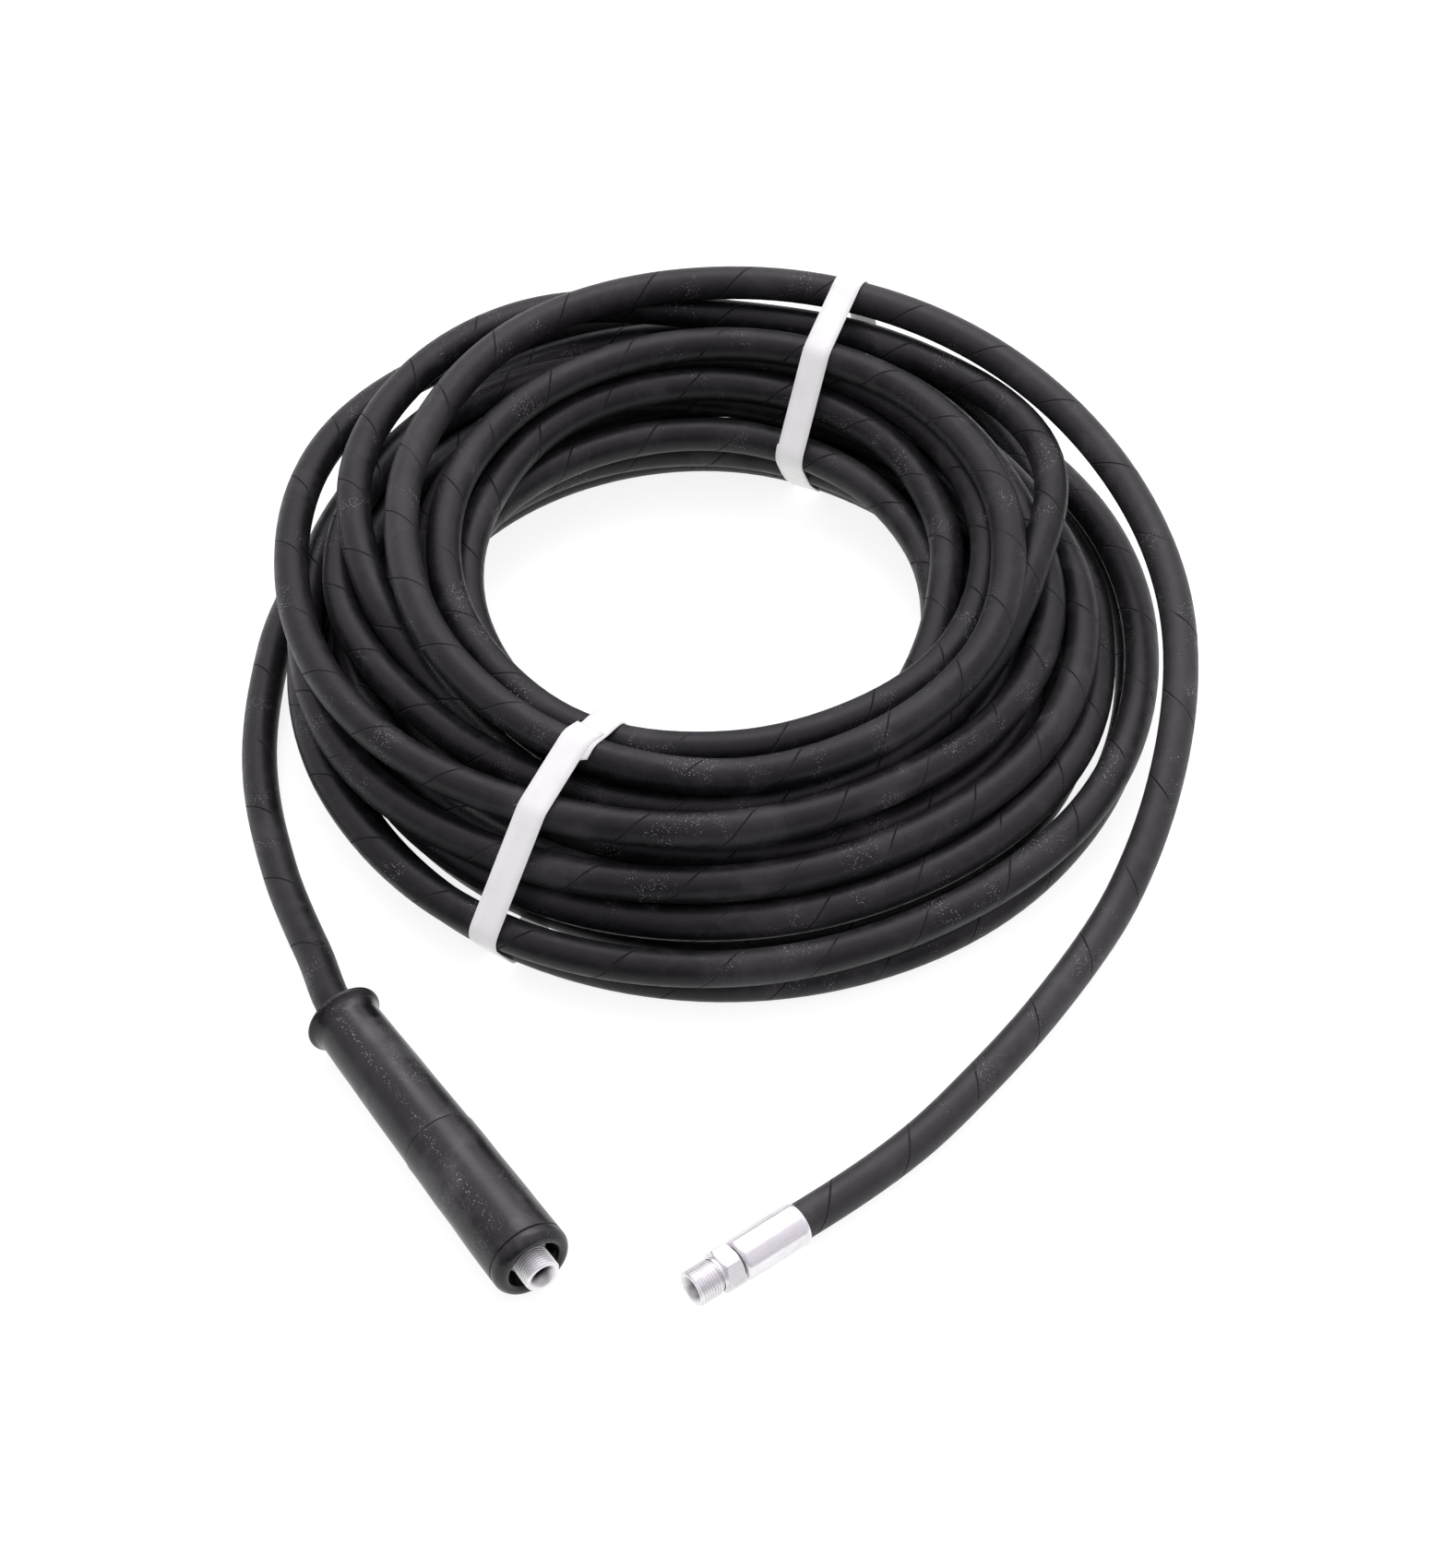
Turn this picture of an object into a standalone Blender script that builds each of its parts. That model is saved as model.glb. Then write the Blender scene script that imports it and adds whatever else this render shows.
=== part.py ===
"""A pressure washer hose, wound into a round bundle, tied with two straps and laid flat.

The bundle is one turned ring whose section is scalloped by its turns. Both ends of the
hose come away from it along the floor: one into a two-piece rubber grip round a crimped
nipple, the other into a bare crimped ferrule with a threaded nipple. Metres, +Z up. The
pieces are placed about the bundle's axis, and then moved together so that the origin is
at the bottom centre of the whole hose.
"""

import math

import bpy
import numpy as np
from mathutils import Matrix, Vector
from mathutils.geometry import convex_hull_2d

# Hose
HOSE_OD = 0.017
CLEARANCE = 0.0003

# Bundle: its outer radius, and its outer turns round the section, in hose diameters
# inwards from the outermost turn and upwards from the lowest one. They run down the
# outer side, inwards along the bottom, up the bore and back out over the top.
BUNDLE_OUTER_RADIUS = 0.2142
BUNDLE_STEPS = 48
OUTER_TURNS = (
    (1.20, 3.57), (0.60, 2.75), (0.10, 1.89), (0.00, 0.92), (0.35, 0.00),
    (1.35, 0.00), (2.40, 0.00), (2.90, 0.87), (3.50, 1.67), (4.10, 2.47),
    (4.55, 3.37), (4.00, 4.22), (3.10, 4.47), (2.10, 4.22),
)
TURN_ARC_HALF_ANGLE = math.radians(54.0)
TURN_ARC_POINTS = 4

# Straps round the section
STRAP_WIDTH = 0.0150
STRAP_THICKNESS = 0.0006
STRAP_FRONT_ANGLE = math.radians(-119.5)
STRAP_STEPS_APART = 26
STRAP_SAMPLES = 24

# Crimped ferrule, the same on both ends
FERRULE_OD = 0.020
FERRULE_LENGTH = 0.034
FERRULE_END_WALL = 0.004
FERRULE_CHAMFER = 0.0008
CRIMP_FLATS = 8
CRIMP_ACROSS_FLATS = 0.0192
CUTTER_REACH = 0.005

# Nipple: spigot, groove, hexagon, male thread (3/8 inch pipe) with a 60 degree cone inside
SPIGOT_DIAMETER = 0.012
SPIGOT_LENGTH = 0.0035
GROOVE_DIAMETER = 0.0145
GROOVE_LENGTH = 0.0015
HEX_ACROSS_FLATS = 0.019
HEX_LENGTH = 0.008
HEX_CHAMFER = 0.0009
THREAD_DIAMETER = 0.01666
THREAD_LENGTH = 0.0145
THREAD_CHAMFER = 0.0011
CONE_MOUTH_DIAMETER = 0.0128
CONE_HALF_ANGLE = math.radians(30.0)
NIPPLE_BORE = 0.0070

# Grip: a flared collar and a nose sleeve, end to end round the hose
COLLAR_LENGTH = 0.086
COLLAR_FLANGE_DIAMETER = 0.0362
COLLAR_FLANGE_LENGTH = 0.0022
COLLAR_WAIST_DIAMETER = 0.0304
COLLAR_WAIST_AT = 0.0072
COLLAR_SEAM_DIAMETER = 0.0341
NOSE_SLEEVE_LENGTH = 0.0795
NOSE_SEAM_DIAMETER = 0.0348
NOSE_DIAMETER = 0.0370
NOSE_ROUNDING = 0.0055
NOSE_GROOVE_BACK = 0.0070
NOSE_GROOVE_DEPTH = 0.0008
NOSE_MOUTH_DIAMETER = 0.0245
NIPPLE_PAST_NOSE = 0.0064
SLEEVE_EDGE = 0.0010

# Where the mouths of the two ends lie: bearing about the bundle's axis in degrees, and
# distance past the bundle's outer radius. Both ends rest on the floor.
FITTING_MOUTH = (-85.0, 0.1311)
FITTING_HEADING = math.radians(217.5)
GRIP_MOUTH = (-126.4, 0.0787)
GRIP_HEADING = math.radians(-56.5)
FITTING_HEIGHT = CRIMP_ACROSS_FLATS / 2
GRIP_HEIGHT = NOSE_DIAMETER / 2

# Free stretches of hose from the bundle to each end: bearing, distance past the bundle's
# outer radius (less than nothing where it lies on the bundle), and height of the centreline
HOSE_REST = HOSE_OD / 2
TUBE_POINT_SPACING = 2.0 * HOSE_OD
ROUTE_TO_FITTING = (
    (57.9, -0.0205, 0.0875), (51.1, -0.0189, 0.0866), (42.4, -0.0176, 0.0850),
    (32.7, -0.0154, 0.0820), (21.6, -0.0120, 0.0765), (11.1, -0.0058, 0.0695),
    (1.6, 0.0004, 0.0615), (-7.6, 0.0057, 0.0525), (-14.8, 0.0097, 0.0440),
    (-20.3, 0.0130, 0.0365), (-26.3, 0.0162, 0.0285), (-33.0, 0.0208, 0.0205),
    (-41.8, 0.0289, 0.0120), (-50.9, 0.0399, HOSE_REST), (-59.8, 0.0562, HOSE_REST),
    (-67.0, 0.0731, HOSE_REST), (-73.8, 0.0932, HOSE_REST),
)
ROUTE_TO_GRIP = (
    (165.0, 0.0028, HOSE_REST), (172.1, 0.0031, HOSE_REST), (179.2, 0.0073, HOSE_REST),
    (186.3, 0.0130, HOSE_REST), (192.5, 0.0179, HOSE_REST), (199.9, 0.0244, HOSE_REST),
    (206.3, 0.0300, HOSE_REST), (211.9, 0.0360, HOSE_REST), (215.2, 0.0402, HOSE_REST),
    (220.6, 0.0479, 0.0095), (225.4, 0.0568, 0.0122),
)
LEAD_STRAIGHT = 0.010

TURNED_STEPS = 32


def material(name, colour, roughness, metallic=0.0):
    made = bpy.data.materials.new(name)
    made.use_nodes = True
    shader = made.node_tree.nodes["Principled BSDF"]
    shader.inputs["Base Color"].default_value = (*colour, 1.0)
    shader.inputs["Roughness"].default_value = roughness
    shader.inputs["Metallic"].default_value = metallic
    return made


def add_object(name, data, look, collection):
    made = bpy.data.objects.new(name, data)
    if look:
        data.materials.append(look)
    collection.objects.link(made)
    return made


def turned(name, profile, steps, look, collection):
    """Revolves a closed (radius, height) outline about Z. It runs down its outer side."""
    mesh = bpy.data.meshes.new(name)
    count = len(profile)
    points = [(radius, 0.0, height) for radius, height in profile]
    mesh.from_pydata(points, [(i, (i + 1) % count) for i in range(count)], [])
    made = add_object(name, mesh, look, collection)
    screw = made.modifiers.new("turn", "SCREW")
    screw.axis = "Z"
    screw.steps = steps
    screw.render_steps = steps
    screw.use_merge_vertices = True
    screw.merge_threshold = 0.00001
    return made


def prism_cutter(name, across_flats, sides, low, high, collection):
    """A straight prism with this many flats, to be intersected with a turned blank."""
    bpy.ops.mesh.primitive_cylinder_add(
        vertices=sides,
        radius=across_flats / 2 / math.cos(math.pi / sides),
        depth=high - low,
        rotation=(0.0, 0.0, math.pi / sides - math.pi / 2),
    )
    cutter = bpy.context.object
    cutter.name = name
    cutter.data.transform(cutter.matrix_world)
    cutter.data.transform(Matrix.Translation((0.0, 0.0, (low + high) / 2)))
    cutter.matrix_world = Matrix.Identity(4)
    for holder in list(cutter.users_collection):
        holder.objects.unlink(cutter)
    collection.objects.link(cutter)
    cutter.hide_render = True
    cutter.display_type = "WIRE"
    return cutter


def keep_inside(blank, cutter):
    cut = blank.modifiers.new("flats", "BOOLEAN")
    cut.operation = "INTERSECT"
    cut.object = cutter


def bundle_turn_centres():
    """Centres of the outer turns as (radius, height), above the strap that runs underneath."""
    outermost = BUNDLE_OUTER_RADIUS - HOSE_OD / 2
    lowest = HOSE_OD / 2 + STRAP_THICKNESS + CLEARANCE
    return [(outermost - inward * HOSE_OD, lowest + up * HOSE_OD) for inward, up in OUTER_TURNS]


def scalloped_section(centres):
    """Each outer turn shows as an arc that faces away from its two neighbours."""
    outline = []
    count = len(centres)
    for i, (radius, height) in enumerate(centres):
        before = centres[i - 1]
        after = centres[(i + 1) % count]
        outward = math.atan2(after[0] - before[0], before[1] - after[1])
        if height == min(centre[1] for centre in centres):
            outward = -math.pi / 2
        for k in range(TURN_ARC_POINTS):
            share = 1.0 - 2.0 * k / (TURN_ARC_POINTS - 1)
            angle = outward + share * TURN_ARC_HALF_ANGLE
            outline.append((
                radius + HOSE_OD / 2 * math.cos(angle),
                height + HOSE_OD / 2 * math.sin(angle),
            ))
    return outline


def hose_bundle(look, collection):
    profile = scalloped_section(bundle_turn_centres())
    bundle = turned("hose_coil", profile, BUNDLE_STEPS, look, collection)
    bundle.rotation_euler.z = STRAP_FRONT_ANGLE + math.pi / BUNDLE_STEPS
    return bundle


def strap_outline(offset):
    """The taut line round the turns, this far off the hose, on the ring's flat facet."""
    facet = math.cos(math.pi / BUNDLE_STEPS)
    reach = HOSE_OD / 2 + offset
    points = []
    for radius, height in bundle_turn_centres():
        for k in range(STRAP_SAMPLES):
            angle = 2.0 * math.pi * k / STRAP_SAMPLES
            points.append(Vector((
                radius * facet + reach * math.cos(angle),
                height + reach * math.sin(angle),
            )))
    return [points[i] for i in convex_hull_2d(points)]


def strap(name, angle, look, collection):
    curve = bpy.data.curves.new(name, "CURVE")
    curve.dimensions = "2D"
    curve.fill_mode = "BOTH"
    curve.extrude = STRAP_WIDTH / 2
    for offset in (CLEARANCE + STRAP_THICKNESS, CLEARANCE):
        outline = strap_outline(offset)
        spline = curve.splines.new("POLY")
        spline.points.add(len(outline) - 1)
        for point, place in zip(spline.points, outline):
            point.co = (place.x, place.y, 0.0, 1.0)
        spline.use_cyclic_u = True
    made = add_object(name, curve, look, collection)
    made.matrix_world = Matrix((
        (math.cos(angle), 0.0, math.sin(angle), 0.0),
        (math.sin(angle), 0.0, -math.cos(angle), 0.0),
        (0.0, 1.0, 0.0, 0.0),
        (0.0, 0.0, 0.0, 1.0),
    ))
    return made


def ferrule_profile():
    outer = FERRULE_OD / 2
    bore = HOSE_OD / 2 + CLEARANCE
    hole = SPIGOT_DIAMETER / 2 + CLEARANCE
    return [
        (outer, FERRULE_LENGTH - FERRULE_CHAMFER),
        (outer, FERRULE_CHAMFER),
        (outer - FERRULE_CHAMFER / 2, 0.0),
        (bore, 0.0),
        (bore, FERRULE_LENGTH - FERRULE_END_WALL),
        (hole, FERRULE_LENGTH - FERRULE_END_WALL),
        (hole, FERRULE_LENGTH),
        (outer - FERRULE_CHAMFER, FERRULE_LENGTH),
    ]


def ferrule(name, look, collection, cutters):
    """The crimped shell, from its hose end at z = 0, with the crimping die's flats."""
    shell = turned(name, ferrule_profile(), TURNED_STEPS, look, collection)
    flats = prism_cutter(
        name + "_flats", CRIMP_ACROSS_FLATS, CRIMP_FLATS,
        -CUTTER_REACH, FERRULE_LENGTH + CUTTER_REACH, cutters,
    )
    keep_inside(shell, flats)
    return shell, flats


def nipple_profile():
    """The nipple from the back of its spigot at z = 0 to its threaded tip."""
    hex_start = SPIGOT_LENGTH + GROOVE_LENGTH
    hex_end = hex_start + HEX_LENGTH
    tip = hex_end + THREAD_LENGTH
    corner = HEX_ACROSS_FLATS / 2 / math.cos(math.pi / 6)
    thread = THREAD_DIAMETER / 2
    bore = NIPPLE_BORE / 2
    mouth = CONE_MOUTH_DIAMETER / 2
    cone_depth = (mouth - bore) / math.tan(CONE_HALF_ANGLE)
    return [
        (thread - THREAD_CHAMFER, tip),
        (thread, tip - THREAD_CHAMFER),
        (thread, hex_end),
        (corner - HEX_CHAMFER, hex_end),
        (corner, hex_end - HEX_CHAMFER / 2),
        (corner, hex_start + HEX_CHAMFER / 2),
        (corner - HEX_CHAMFER, hex_start),
        (GROOVE_DIAMETER / 2, hex_start),
        (GROOVE_DIAMETER / 2, SPIGOT_LENGTH),
        (SPIGOT_DIAMETER / 2, SPIGOT_LENGTH),
        (SPIGOT_DIAMETER / 2, 0.0),
        (bore, 0.0),
        (bore, tip - cone_depth),
        (mouth, tip),
    ]


def nipple(name, look, collection, cutters):
    """The turned blank cut by a hexagon, which leaves its corners chamfered."""
    blank = turned(name, nipple_profile(), TURNED_STEPS, look, collection)
    length = SPIGOT_LENGTH + GROOVE_LENGTH + HEX_LENGTH + THREAD_LENGTH
    hexagon = prism_cutter(
        name + "_hexagon", HEX_ACROSS_FLATS, 6, -CUTTER_REACH, length + CUTTER_REACH, cutters
    )
    keep_inside(blank, hexagon)
    return blank, hexagon


def collar_profile():
    bore = HOSE_OD / 2 + CLEARANCE
    flange = COLLAR_FLANGE_DIAMETER / 2
    waist = COLLAR_WAIST_DIAMETER / 2
    seam = COLLAR_SEAM_DIAMETER / 2
    return [
        (seam - SLEEVE_EDGE, COLLAR_LENGTH),
        (seam, COLLAR_LENGTH - SLEEVE_EDGE),
        (waist, COLLAR_WAIST_AT),
        (flange, COLLAR_FLANGE_LENGTH),
        (flange, SLEEVE_EDGE),
        (flange - SLEEVE_EDGE, 0.0),
        (bore + SLEEVE_EDGE, 0.0),
        (bore, SLEEVE_EDGE),
        (bore, COLLAR_LENGTH),
    ]


def ferrule_start():
    """How far along the grip, from the collar's mouth, the ferrule inside it begins."""
    nose_tip = COLLAR_LENGTH + CLEARANCE + NOSE_SLEEVE_LENGTH
    return nose_tip + NIPPLE_PAST_NOSE - nipple_length_past_ferrule() - FERRULE_LENGTH


def nipple_length_past_ferrule():
    return CLEARANCE + GROOVE_LENGTH + HEX_LENGTH + THREAD_LENGTH


def nose_sleeve_profile():
    """The nose sleeve from its seam at z = 0: tight on the hose, then the ferrule, then open."""
    seam = NOSE_SEAM_DIAMETER / 2
    nose = NOSE_DIAMETER / 2
    tip = NOSE_SLEEVE_LENGTH
    groove = tip - NOSE_GROOVE_BACK
    mouth = NOSE_MOUTH_DIAMETER / 2
    hose_bore = HOSE_OD / 2 + CLEARANCE
    ferrule_bore = FERRULE_OD / 2 + CLEARANCE
    ferrule_low = ferrule_start() - COLLAR_LENGTH - 2.0 * CLEARANCE
    ferrule_high = ferrule_low + FERRULE_LENGTH
    rounding = [
        (
            nose - NOSE_ROUNDING + NOSE_ROUNDING * math.sin(angle),
            tip - NOSE_ROUNDING + NOSE_ROUNDING * math.cos(angle),
        )
        for angle in (math.radians(10.0), math.radians(40.0), math.radians(65.0), math.radians(90.0))
    ]
    return rounding + [
        (nose, groove + NOSE_GROOVE_DEPTH),
        (nose - NOSE_GROOVE_DEPTH, groove),
        (nose, groove - NOSE_GROOVE_DEPTH),
        (seam, SLEEVE_EDGE),
        (seam - SLEEVE_EDGE, 0.0),
        (hose_bore, 0.0),
        (hose_bore, ferrule_low),
        (ferrule_bore, ferrule_low),
        (ferrule_bore, ferrule_high),
        (mouth, ferrule_high + mouth - ferrule_bore),
        (mouth, tip - NOSE_ROUNDING / 2),
    ]


def beside_bundle(bearing, past, height):
    """A point at this bearing, this far past the bundle's outer radius."""
    distance = BUNDLE_OUTER_RADIUS + past
    angle = math.radians(bearing)
    return Vector((distance * math.cos(angle), distance * math.sin(angle), height))


def end_point(mouth, heading, height, along):
    """A point on an end's axis, this far from its mouth."""
    direction = Vector((math.cos(heading), math.sin(heading), 0.0))
    return beside_bundle(*mouth, height) + direction * along


def lay_along(made, mouth, heading, height, along):
    """Turns a piece's own +Z to this heading, at this distance along the end's axis."""
    made.matrix_world = (
        Matrix.Translation(end_point(mouth, heading, height, along))
        @ Matrix.Rotation(heading, 4, "Z")
        @ Matrix.Rotation(math.pi / 2, 4, "Y")
    )


def crimped_end(prefix, mouth, heading, height, start, looks, collection, cutters):
    """A ferrule with its nipple, both lying along one heading."""
    shell, flats = ferrule(prefix + "_ferrule", looks["zinc"], collection, cutters)
    stem, hexagon = nipple(prefix + "_nipple", looks["zinc"], collection, cutters)
    spigot_back = start + FERRULE_LENGTH + CLEARANCE - SPIGOT_LENGTH
    for piece in (shell, flats):
        lay_along(piece, mouth, heading, height, start)
    for piece in (stem, hexagon):
        lay_along(piece, mouth, heading, height, spigot_back)
    return shell, stem


def smooth_route(points):
    """Even points along a smooth curve through the route's own points, never under the floor."""
    route = np.array(points, dtype=float)
    chords = np.linalg.norm(np.diff(route, axis=0), axis=1)
    at = np.concatenate([[0.0], np.cumsum(chords)])
    slopes = np.gradient(route, at, axis=0)
    fine = []
    for i, chord in enumerate(chords):
        t = np.linspace(0.0, 1.0, 24, endpoint=False)[:, None]
        fine.append(
            (2 * t**3 - 3 * t**2 + 1) * route[i]
            + (t**3 - 2 * t**2 + t) * chord * slopes[i]
            + (3 * t**2 - 2 * t**3) * route[i + 1]
            + (t**3 - t**2) * chord * slopes[i + 1]
        )
    fine = np.vstack([*fine, route[-1:]])
    fine[:, 2] = np.maximum(fine[:, 2], HOSE_REST)
    along = np.concatenate([[0.0], np.cumsum(np.linalg.norm(np.diff(fine, axis=0), axis=1))])
    count = max(4, round(along[-1] / TUBE_POINT_SPACING))
    wanted = np.linspace(0.0, along[-1], count + 1)
    return np.stack([np.interp(wanted, along, fine[:, k]) for k in range(3)], axis=1)


def hose_tube(name, free_points, inner_end, look, collection):
    """A tube along the free stretch, and then straight into its ferrule."""
    curve = bpy.data.curves.new(name, "CURVE")
    curve.dimensions = "3D"
    curve.bevel_depth = HOSE_OD / 2
    curve.bevel_resolution = 3
    curve.use_fill_caps = True
    route = [*smooth_route(free_points), inner_end]
    spline = curve.splines.new("POLY")
    spline.points.add(len(route) - 1)
    for point, place in zip(spline.points, route):
        point.co = (*place, 1.0)
    return add_object(name, curve, look, collection)


def free_hose(looks, collection):
    hose_stop = FERRULE_LENGTH - FERRULE_END_WALL - CLEARANCE
    ends = (
        ("hose_to_fitting", ROUTE_TO_FITTING, FITTING_MOUTH, FITTING_HEADING, FITTING_HEIGHT, 0.0),
        ("hose_to_grip", ROUTE_TO_GRIP, GRIP_MOUTH, GRIP_HEADING, GRIP_HEIGHT, ferrule_start()),
    )
    for name, route, mouth, heading, height, start in ends:
        free_points = [
            *(beside_bundle(*point) for point in route),
            end_point(mouth, heading, height, -LEAD_STRAIGHT),
            end_point(mouth, heading, height, -LEAD_STRAIGHT / 5),
        ]
        inner_end = end_point(mouth, heading, height, start + hose_stop)
        hose_tube(name, free_points, inner_end, looks["hose"], collection)


def grip(looks, collection, cutters):
    collar = turned("grip_collar", collar_profile(), TURNED_STEPS, looks["grip"], collection)
    lay_along(collar, GRIP_MOUTH, GRIP_HEADING, GRIP_HEIGHT, 0.0)
    nose = turned("grip_nose", nose_sleeve_profile(), TURNED_STEPS, looks["grip"], collection)
    lay_along(nose, GRIP_MOUTH, GRIP_HEADING, GRIP_HEIGHT, COLLAR_LENGTH + CLEARANCE)
    crimped_end(
        "grip", GRIP_MOUTH, GRIP_HEADING, GRIP_HEIGHT, ferrule_start(), looks, collection, cutters
    )


def stand_on_origin(collection, cutters):
    """Moves everything so that the origin is at the bottom centre of the whole hose."""
    bpy.context.view_layer.update()
    graph = bpy.context.evaluated_depsgraph_get()
    corners = []
    for made in collection.objects:
        evaluated = made.evaluated_get(graph)
        mesh = evaluated.to_mesh()
        places = np.empty(len(mesh.vertices) * 3)
        mesh.vertices.foreach_get("co", places)
        turn = np.array(evaluated.matrix_world)
        world = places.reshape(-1, 3) @ turn[:3, :3].T + turn[:3, 3]
        corners += [world.min(axis=0), world.max(axis=0)]
        evaluated.to_mesh_clear()
    low = np.min(corners, axis=0)
    high = np.max(corners, axis=0)
    origin = bpy.data.objects.new("hose_origin", None)
    collection.objects.link(origin)
    for made in [*collection.objects, *cutters.objects]:
        if made is not origin:
            made.parent = origin
    origin.location = (-(low[0] + high[0]) / 2, -(low[1] + high[1]) / 2, -low[2])


def main():
    for old in list(bpy.data.objects):
        bpy.data.objects.remove(old, do_unlink=True)
    collection = bpy.data.collections.new("pressure_washer_hose")
    cutters = bpy.data.collections.new("cutters")
    for made in (collection, cutters):
        bpy.context.scene.collection.children.link(made)

    looks = {
        "hose": material("black wrapped rubber", (0.028, 0.028, 0.031), 0.62),
        "grip": material("black moulded rubber", (0.024, 0.024, 0.027), 0.55),
        "zinc": material("bright zinc plated steel", (0.72, 0.72, 0.74), 0.28, 1.0),
        "strap": material("white woven strap", (0.86, 0.85, 0.82), 0.70),
    }
    hose_bundle(looks["hose"], collection)
    step = 2.0 * math.pi / BUNDLE_STEPS
    strap("strap_front", STRAP_FRONT_ANGLE, looks["strap"], collection)
    strap("strap_back", STRAP_FRONT_ANGLE + STRAP_STEPS_APART * step, looks["strap"], collection)
    crimped_end(
        "end", FITTING_MOUTH, FITTING_HEADING, FITTING_HEIGHT, 0.0, looks, collection, cutters
    )
    grip(looks, collection, cutters)
    free_hose(looks, collection)
    stand_on_origin(collection, cutters)


main()
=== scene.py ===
# Pressure washer hose: a long rubber hose wound on the floor and tied with two straps,
# one end in a rubber grip, the other in a bare crimped ferrule.
import math

import bmesh
import bpy
import numpy as np
from mathutils import Matrix, Vector, noise
from mathutils.geometry import convex_hull_2d


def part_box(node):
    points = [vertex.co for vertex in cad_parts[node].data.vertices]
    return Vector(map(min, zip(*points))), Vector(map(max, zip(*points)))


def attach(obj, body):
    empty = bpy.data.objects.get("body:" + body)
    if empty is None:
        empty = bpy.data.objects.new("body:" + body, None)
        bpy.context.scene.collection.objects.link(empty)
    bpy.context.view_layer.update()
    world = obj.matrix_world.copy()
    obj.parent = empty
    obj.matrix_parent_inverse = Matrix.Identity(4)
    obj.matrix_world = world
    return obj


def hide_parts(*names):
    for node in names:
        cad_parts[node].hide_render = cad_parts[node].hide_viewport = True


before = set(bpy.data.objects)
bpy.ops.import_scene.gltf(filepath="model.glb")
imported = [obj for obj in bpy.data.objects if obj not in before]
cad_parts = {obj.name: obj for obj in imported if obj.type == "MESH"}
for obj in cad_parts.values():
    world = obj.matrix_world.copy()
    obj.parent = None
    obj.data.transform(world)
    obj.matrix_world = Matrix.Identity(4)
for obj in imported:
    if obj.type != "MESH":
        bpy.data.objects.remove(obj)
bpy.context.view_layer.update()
print("frame loaded:", len(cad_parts), "solids")

bundleLow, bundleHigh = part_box("hose_coil")
bundleAxis = np.array([(bundleLow[0] + bundleHigh[0]) / 2, (bundleLow[1] + bundleHigh[1]) / 2, 0.0])

camera = {"lookAt": (0.00095, 0.01275, 0.0), "elevation": 46.5, "distance": 1.836, "lens": 87.14}


def placeCamera():
    data = bpy.data.cameras.new("photoCamera")
    data.sensor_fit = "VERTICAL"
    data.sensor_height = 36.0
    data.lens = camera["lens"]
    made = bpy.data.objects.new("photoCamera", data)
    tilt = math.radians(camera["elevation"])
    back = Vector((0.0, -math.cos(tilt), math.sin(tilt)))
    made.location = Vector(camera["lookAt"]) + back * camera["distance"]
    made.rotation_euler = (math.pi / 2 - tilt, 0.0, 0.0)
    bpy.context.collection.objects.link(made)
    bpy.context.scene.camera = made


placeCamera()


# Meshes and pieces
def readPoints(mesh):
    flat = np.empty(len(mesh.vertices) * 3)
    mesh.vertices.foreach_get("co", flat)
    return flat.reshape(-1, 3)


def writePoints(mesh, points):
    mesh.vertices.foreach_set("co", np.asarray(points, dtype=np.float32).ravel())
    mesh.update()


# A flat grid with a UV map, to be bent into shape, and each point's share of its two sides
def gridMesh(name, uvName, columns, rows):
    grid = bmesh.new()
    grid.loops.layers.uv.new(uvName)
    bmesh.ops.create_grid(grid, x_segments=columns, y_segments=rows, size=0.5, calc_uvs=True)
    for face in grid.faces:
        face.smooth = True
    mesh = bpy.data.meshes.new(name)
    grid.to_mesh(mesh)
    grid.free()
    flat = readPoints(mesh)
    return mesh, (flat - flat.min(axis=0))[:, :2] / np.ptp(flat, axis=0)[:2]


def scaleUv(mesh, uvName, lengths):
    layer = mesh.uv_layers[uvName].data
    uv = np.empty(len(layer) * 2)
    layer.foreach_get("uv", uv)
    layer.foreach_set("uv", (uv.reshape(-1, 2) * lengths).ravel())


# Joins the edges of a bent grid that meet, and caps the ends that stay open
def closeMesh(mesh, reach):
    closed = bmesh.new()
    closed.from_mesh(mesh)
    bmesh.ops.remove_doubles(closed, verts=closed.verts, dist=reach)
    rims = [edge for edge in closed.edges if edge.is_boundary]
    bmesh.ops.holes_fill(closed, edges=rims, sides=0)
    bmesh.ops.recalc_face_normals(closed, faces=closed.faces)
    for face in closed.faces:
        face.smooth = len(face.verts) == 4
    closed.to_mesh(mesh)
    closed.free()


def addPiece(name, mesh, look, replaced):
    made = bpy.data.objects.new(name, mesh)
    mesh.materials.clear()
    mesh.materials.append(look)
    bpy.context.collection.objects.link(made)
    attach(made, "root")
    if replaced:
        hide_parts(*replaced)
    return made


def gentle(share):
    share = np.clip(share, 0.0, 1.0)
    return share * share * (3.0 - 2.0 * share)


# Node materials
def addNode(tree, kind, inputs=None, **settings):
    made = tree.nodes.new("ShaderNode" + kind)
    for key, value in settings.items():
        setattr(made, key, value)
    for key, value in (inputs or {}).items():
        if isinstance(value, bpy.types.NodeSocket):
            tree.links.new(value, made.inputs[key])
        else:
            made.inputs[key].default_value = value
    return made


def mathOf(tree, operation, first, second=0.0):
    return addNode(tree, "Math", {0: first, 1: second}, operation=operation).outputs[0]


def rangeOf(tree, value, low, high, toLow=0.0, toHigh=1.0):
    made = addNode(tree, "MapRange", {
        "Value": value, "From Min": low, "From Max": high, "To Min": toLow, "To Max": toHigh,
    })
    return made.outputs["Result"]


def mixOf(tree, factor, first, second):
    made = addNode(tree, "Mix", {0: factor, 6: first, 7: second}, data_type="RGBA")
    return made.outputs[2]


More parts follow.
